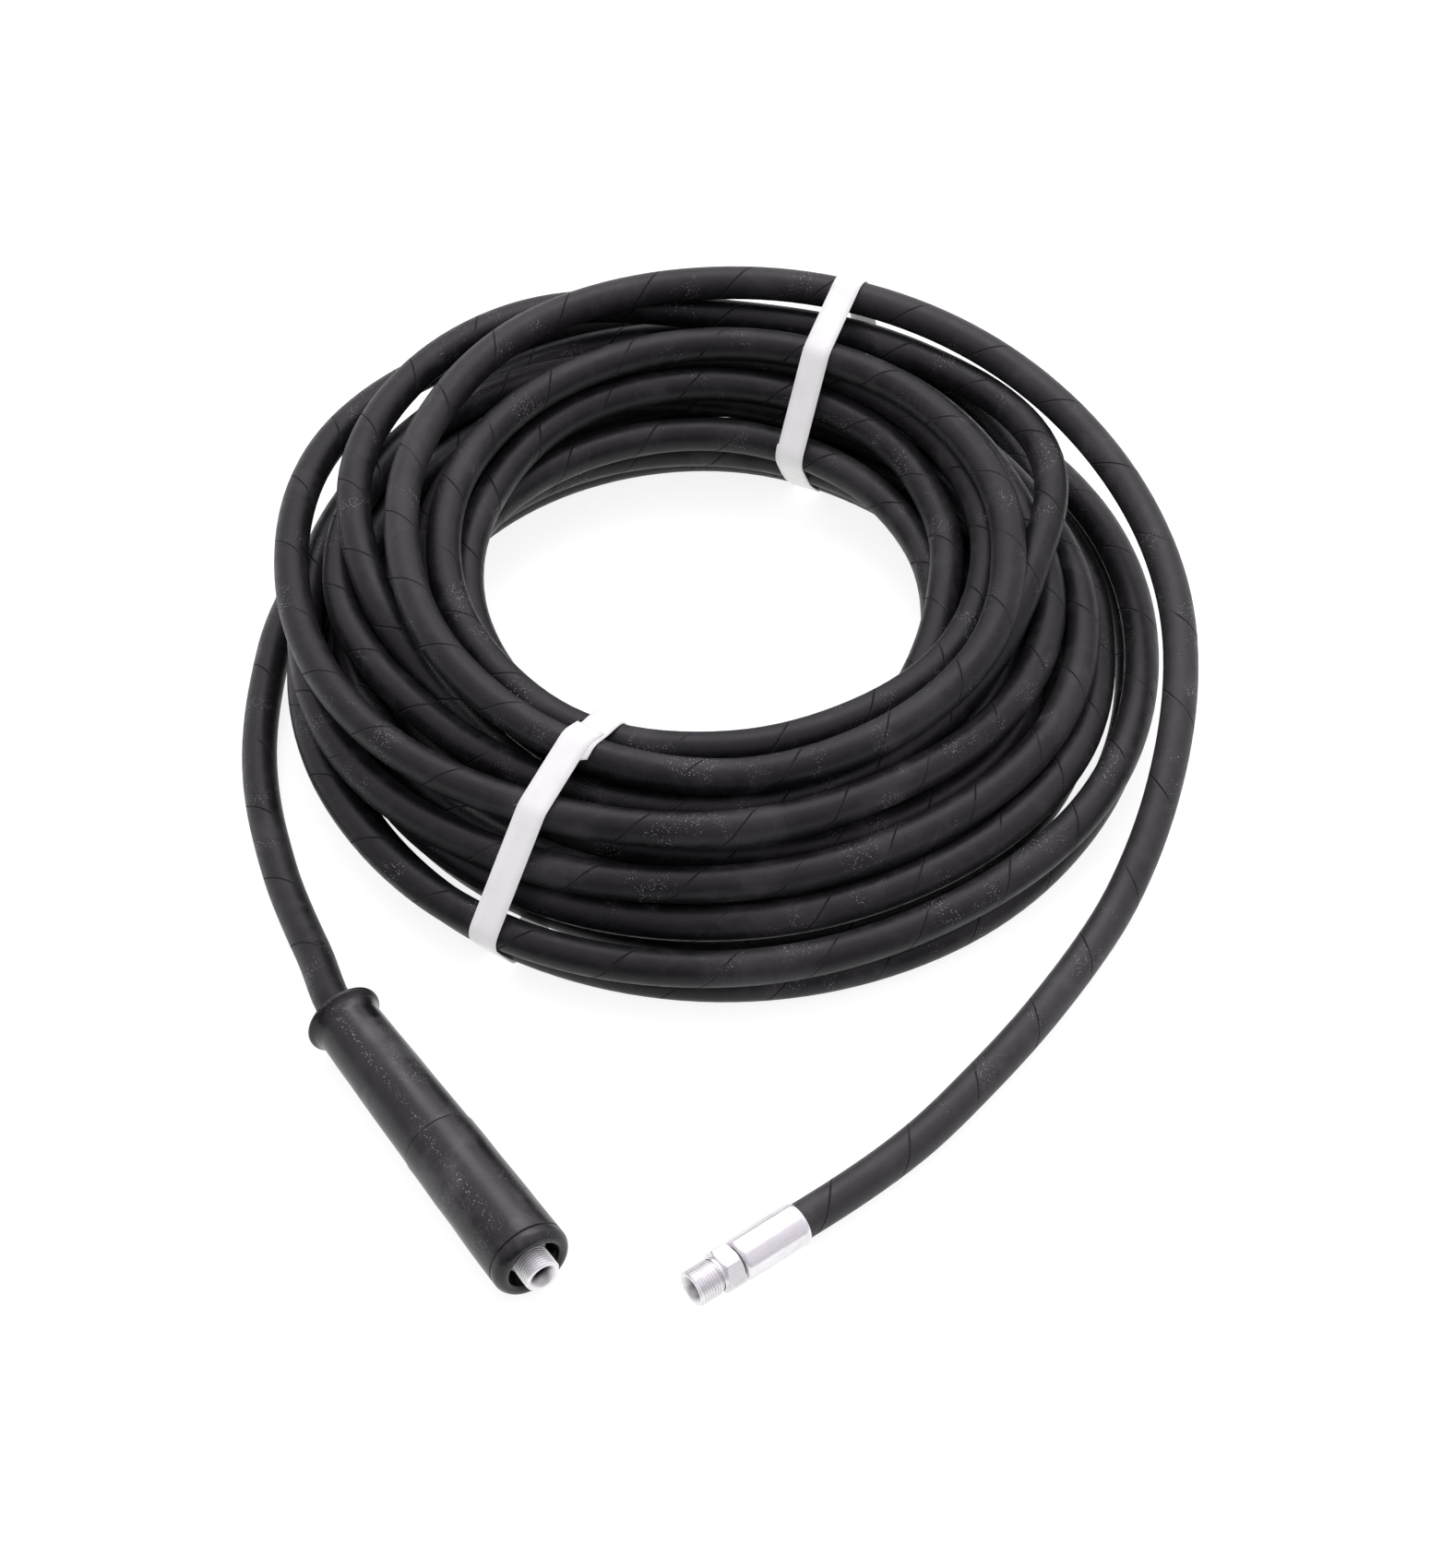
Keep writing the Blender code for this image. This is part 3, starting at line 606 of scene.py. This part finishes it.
def strapMesh(name, strap):
    line = tautLine(strap)
    places = np.concatenate([[0.0], np.cumsum(np.linalg.norm(np.diff(line, axis=0), axis=1))])
    perimeter = places[-1]
    fine = np.linspace(0.0, perimeter, 2000)
    nearest = np.argmin(np.hypot(
        np.interp(fine, places, line[:, 0]) - strap["lapEnd"][0],
        np.interp(fine, places, line[:, 1]) - strap["lapEnd"][1],
    ))
    total = perimeter + straps["lap"]
    mesh, share = gridMesh(name, "alongStrap", round(total / straps["spacing"]), straps["rows"])
    run = share[:, 0] * total
    run -= strap["slant"] * share[:, 1] * gentle((run - perimeter) / straps["lap"])
    turnedLine = np.array([[0.0, -1.0], [1.0, 0.0]])

    def onLine(along):
        at = (fine[nearest] - straps["lap"] + along) % perimeter
        return np.stack([np.interp(at, places, line[:, k], period=perimeter) for k in (0, 1)], axis=1)

    outward = (onLine(run + 0.001) - onLine(run - 0.001)) @ turnedLine
    outward /= np.linalg.norm(outward, axis=1)[:, None]
    lift = 1.35 * straps["thickness"] * gentle((run - perimeter + straps["ramp"]) / straps["ramp"])
    centre = onLine(run) + lift[:, None] * outward
    slip = strap["slip"] * gentle((run - perimeter + straps["lap"]) / (2.0 * straps["lap"]))
    across = (share[:, 1] - 0.5) * strap["width"] + slip
    ahead, side, origin = planeAxes(strap)
    plan = origin + centre[:, :1] * ahead + across[:, None] * side
    writePoints(mesh, np.column_stack([plan, centre[:, 1]]))
    scaleUv(mesh, "alongStrap", (total, strap["width"]))
    return mesh


whitePlastic = strapPlastic()
for name in ("strapFront", "strapBack"):
    band = addPiece(name, strapMesh(name, straps[name]), whitePlastic, (straps[name]["node"],))
    wall = band.modifiers.new("thickness", "SOLIDIFY")
    wall.thickness = straps["thickness"]
    wall.offset = 1.0
print("straps made")


# Turned pieces. An outline is corners of (along, radius, softness), closed, and is spun
# about the piece's own length.
def softOutline(corners, longest):
    count = len(corners)
    points = []
    for i, (along, radius, soft) in enumerate(corners):
        here = np.array([along, radius])
        before = np.array(corners[i - 1][:2])
        after = np.array(corners[(i + 1) % count][:2])
        if soft <= 0.0:
            points.append(here)
            continue
        start = here + (before - here) * min(0.45, soft / np.linalg.norm(before - here))
        end = here + (after - here) * min(0.45, soft / np.linalg.norm(after - here))
        for t in np.linspace(0.0, 1.0, 6):
            points.append((1 - t) ** 2 * start + 2 * t * (1 - t) * here + t**2 * end)
    outline = []
    for i, point in enumerate(points):
        step = points[(i + 1) % len(points)] - point
        pieces = max(1, math.ceil(np.linalg.norm(step) / longest))
        outline += [point + step * k / pieces for k in range(pieces)]
    return outline


spinSteps = 96


def spunMesh(name, outline):
    mesh, share = gridMesh(name, "turned", len(outline), spinSteps)
    corner = np.rint(share[:, 0] * len(outline)).astype(int) % len(outline)
    along, radius = np.array(outline)[corner].T
    angle = 2.0 * math.pi * np.rint(share[:, 1] * spinSteps) / spinSteps
    writePoints(mesh, np.column_stack([radius * np.cos(angle), radius * np.sin(angle), along]))
    closeMesh(mesh, 1e-7)
    return mesh


# Metres along the piece and around it, for turning marks, and the bore marked for its painted shade
def addTurnedUv(mesh, boreRadius):
    points = readPoints(mesh)
    layer = mesh.uv_layers["turned"]
    corner = np.empty(len(mesh.loops), dtype=int)
    mesh.loops.foreach_get("vertex_index", corner)
    starts = np.empty(len(mesh.polygons), dtype=int)
    sizes = np.empty(len(mesh.polygons), dtype=int)
    mesh.polygons.foreach_get("loop_start", starts)
    mesh.polygons.foreach_get("loop_total", sizes)
    angle = np.arctan2(points[corner, 1], points[corner, 0])
    first = np.repeat(angle[starts], sizes)
    angle = first + (angle - first + math.pi) % (2.0 * math.pi) - math.pi
    radius = np.hypot(points[:, 0], points[:, 1]).max()
    layer.data.foreach_set("uv", np.stack([points[corner, 2], angle * radius], axis=1).ravel())
    dark = mesh.attributes.new("paintedBoreShade", "FLOAT", "POINT")
    dark.data.foreach_set("value", (np.hypot(points[:, 0], points[:, 1]) < boreRadius).astype(np.float32))


# Presses a spun mesh down towards flats, the first of which faces the floor
def pressFlats(points, acrossFlats, count, low, high, depth=1.0):
    sector = 2.0 * math.pi / count
    angle = np.arctan2(points[:, 1], points[:, 0])
    radius = np.hypot(points[:, 0], points[:, 1])
    flat = acrossFlats / 2 / np.cos((angle + sector / 2) % sector - sector / 2)
    pressed = (points[:, 2] > low) & (points[:, 2] < high) & (radius > flat)
    points[pressed, :2] *= 1.0 - depth * (1.0 - flat / radius)[pressed, None]


def layAlong(mesh, end, along):
    heading = Matrix.Rotation(math.radians(end["heading"]), 4, "Z")
    mesh.transform(Matrix.Translation(endPoint(end, along)) @ heading @ Matrix.Rotation(math.pi / 2, 4, "Y"))


ferrule = {
    "outer": 0.0100, "endRing": 0.0096, "length": 0.034, "bore": 0.0088, "acrossFlats": 0.0188,
    "pressed": 0.66, "lip": 0.0063,
}


def ferruleMesh(name):
    long, outer, ring = ferrule["length"], ferrule["outer"], ferrule["endRing"]
    mesh = spunMesh(name, softOutline((
        (0.0, ferrule["bore"], 0.0), (0.0, ring - 0.0003, 0.0002), (0.0006, ring, 0.0003),
        (0.0013, ring, 0.0002), (0.0018, outer, 0.0004), (long - 0.0016, outer, 0.0004),
        (long - 0.0006, ring - 0.0002, 0.0003), (long, ring - 0.0007, 0.0002), (long, ferrule["lip"], 0.0),
        (long - 0.004, ferrule["lip"], 0.0), (long - 0.004, ferrule["bore"], 0.0),
    ), 0.0020))
    points = readPoints(mesh)
    pressFlats(points, ferrule["acrossFlats"], 8, 0.0010, long - 0.0008, ferrule["pressed"])
    writePoints(mesh, points)
    addTurnedUv(mesh, 0.0)
    return mesh


# Nipple from the back of its spigot: groove, hexagon, neck, thread, 60 degree cone
nipple = {
    "acrossFlats": 0.019, "hexStart": 0.005, "hexEnd": 0.013, "neckEnd": 0.0152, "tip": 0.0275,
    "major": 0.00833, "depth": 0.00086, "pitch": 0.001337, "mouth": 0.0064, "bore": 0.0035,
    "spigot": 0.0060, "flange": 0.00725, "flangeLength": 0.0015, "threadStep": 0.00011, "runOut": 0.0012,
    "inFerrule": 0.0035, "gap": 0.0003,
}


def nippleMesh(name):
    low, high, tip = nipple["hexStart"], nipple["hexEnd"], nipple["tip"]
    spigot, flange, flangeStart = nipple["spigot"], nipple["flange"], low - nipple["flangeLength"]
    corner = nipple["acrossFlats"] / 2 / math.cos(math.pi / 6)
    minor = nipple["major"] - nipple["depth"]
    cone = (nipple["mouth"] - nipple["bore"]) / math.tan(math.radians(30.0))
    body = softOutline((
        (0.0, nipple["bore"], 0.0), (0.0, spigot, 0.0), (flangeStart, spigot, 0.0),
        (flangeStart, flange, 0.0), (low, flange, 0.0), (low, corner - 0.0011, 0.0001),
        (low + 0.0007, corner, 0.0001), (high - 0.0007, corner, 0.0001),
        (high, corner - 0.0011, 0.0001), (high, minor + 0.0004, 0.0002),
        (nipple["neckEnd"] - 0.0004, minor + 0.0003, 0.0002),
    ), 0.0004)
    rows = np.arange(nipple["neckEnd"], tip, nipple["threadStep"])
    thread = [np.array([along, minor]) for along in rows]
    mouth = softOutline((
        (tip, minor - 0.0002, 0.0), (tip, nipple["mouth"], 0.0), (tip - cone, nipple["bore"], 0.0),
    ), 0.02)
    mesh = spunMesh(name, body + thread + mouth[:3])
    points = readPoints(mesh)
    pressFlats(points, nipple["acrossFlats"], 6, low - 0.0001, high + 0.0001)
    angle = np.arctan2(points[:, 1], points[:, 0])
    radius = np.hypot(points[:, 0], points[:, 1])
    along = points[:, 2]
    cut = (along > nipple["neckEnd"] - 0.00005) & (along < tip - 0.00005) & (radius > minor - 0.0001)
    phase = (along / nipple["pitch"] - angle / (2.0 * math.pi)) % 1.0
    ridge = gentle(1.35 * (1.0 - np.abs(2.0 * phase - 1.0)) - 0.10)
    runOut = gentle((along - nipple["neckEnd"]) / nipple["runOut"])
    grown = minor + nipple["depth"] * ridge * runOut
    grown = np.minimum(grown, minor + 0.0001 + 1.1 * (tip - along))
    points[cut, :2] *= (grown / radius)[cut, None]
    writePoints(mesh, points)
    addTurnedUv(mesh, nipple["bore"] + 0.0001)
    return mesh


# Moulded rubber is never quite true: slow unevenness, a fraction of a millimetre
def roughenRubber(mesh, depth, size):
    for vertex in mesh.vertices:
        outward = Vector((vertex.co.x, vertex.co.y, 0.0)).normalized()
        vertex.co += outward * depth * noise.noise(vertex.co / size)


grip = {
    "collar": (
        (0.0, 0.0088, 0.0), (0.0004, 0.0098, 0.0003), (0.0016, 0.0125, 0.0010), (0.0002, 0.0170, 0.0008),
        (0.0003, 0.0181, 0.0004), (0.0018, 0.0181, 0.0005), (0.0036, 0.0162, 0.0016),
        (0.0074, 0.0152, 0.0014), (0.0400, 0.0160, 0.0100), (0.0860, 0.01705, 0.0006),
        (0.0860, 0.0088, 0.0),
    ),
    "nose": (
        (0.0, 0.0088, 0.0), (0.0, 0.0174, 0.0005), (0.0300, 0.0178, 0.0100), (0.0640, 0.0184, 0.0060),
        (0.0717, 0.01845, 0.0003), (0.0721, 0.0178, 0.0001), (0.0726, 0.01845, 0.0005),
        (0.0762, 0.0185, 0.0034), (0.0792, 0.0164, 0.0028), (0.0795, 0.0136, 0.0012),
        (0.0780, 0.01225, 0.0010), (0.0633, 0.01225, 0.0), (0.0613, 0.0103, 0.0),
        (0.0273, 0.0103, 0.0), (0.0273, 0.0088, 0.0),
    ),
    "noseStart": 0.0863,
    "ferruleStart": 0.1139,
    "unevenness": 0.00018,
    "swellLength": 0.018,
    "offFloor": 0.00005,
}
zinc = zincSteel()
sleeveRubber = gripRubber()

for name, outline, along, node in (
    ("gripCollar", grip["collar"], 0.0, "grip_collar"),
    ("gripNose", grip["nose"], grip["noseStart"], "grip_nose"),
):
    sleeve = spunMesh(name, softOutline(outline, 0.0025))
    addTurnedUv(sleeve, 0.0)
    roughenRubber(sleeve, grip["unevenness"], grip["swellLength"])
    layAlong(sleeve, ends["grip"], along)
    resting = readPoints(sleeve)
    resting[:, 2] = np.maximum(resting[:, 2], grip["offFloor"])
    writePoints(sleeve, resting)
    addPiece(name, sleeve, sleeveRubber, (node,))

for prefix, end, start, node in (
    ("end", ends["fitting"], 0.0, "end_"), ("grip", ends["grip"], grip["ferruleStart"], "grip_"),
):
    shell = ferruleMesh(prefix + "Ferrule")
    layAlong(shell, end, start)
    addPiece(prefix + "Ferrule", shell, zinc, (node + "ferrule",))
    stem = nippleMesh(prefix + "Nipple")
    layAlong(stem, end, start + ferrule["length"] + nipple["gap"] - nipple["inFerrule"])
    addPiece(prefix + "Nipple", stem, zinc, (node + "nipple",))
print("grip, ferrules and nipples made")

# Floor and light
stage = {
    "floor": (0.25, 0.25, 0.25, 1.0), "floorGlow": 0.86, "floorSize": 14.0,
    "brightest": (0.05, 0.50, 0.85), "sky": (0.22, 1.65), "skyColour": (1.0, 0.93, 1.03, 1.0),
}


def setStage():
    made = bmesh.new()
    bmesh.ops.create_grid(made, x_segments=1, y_segments=1, size=stage["floorSize"])
    mesh = bpy.data.meshes.new("floor")
    made.to_mesh(mesh)
    made.free()
    look, tree, shader = newMaterial("paleFloor", roughness=0.8)
    shader.inputs["Base Color"].default_value = stage["floor"]
    shader.inputs["Emission Color"].default_value = (1.0, 1.0, 1.0, 1.0)
    shader.inputs["Emission Strength"].default_value = stage["floorGlow"]
    floor = bpy.data.objects.new("floor", mesh)
    mesh.materials.append(look)
    bpy.context.collection.objects.link(floor)
    world = bpy.data.worlds.new("softStudio")
    world.use_nodes = True
    sky = world.node_tree
    direction = addNode(sky, "TexCoord").outputs["Generated"]
    towards = addNode(sky, "VectorMath", {0: direction, 1: stage["brightest"]}, operation="DOT_PRODUCT")
    glow = rangeOf(sky, towards.outputs["Value"], -0.3, 1.0, *stage["sky"])
    sky.links.new(glow, sky.nodes["Background"].inputs["Strength"])
    sky.nodes["Background"].inputs["Color"].default_value = stage["skyColour"]
    bpy.context.scene.world = world
    bpy.context.scene.view_settings.view_transform = "Standard"


def addLight(name, place, aim, size, power):
    data = bpy.data.lights.new(name, "AREA")
    data.shape = "RECTANGLE"
    data.size, data.size_y = size
    data.energy = power
    made = bpy.data.objects.new(name, data)
    made.location = place
    direction = Vector(aim) - Vector(place)
    made.rotation_euler = direction.to_track_quat("-Z", "Y").to_euler()
    bpy.context.collection.objects.link(made)


setStage()
addLight("overheadBox", (0.1, 0.9, 1.7), (0.0, 0.05, 0.0), (1.6, 1.0), 14.0)
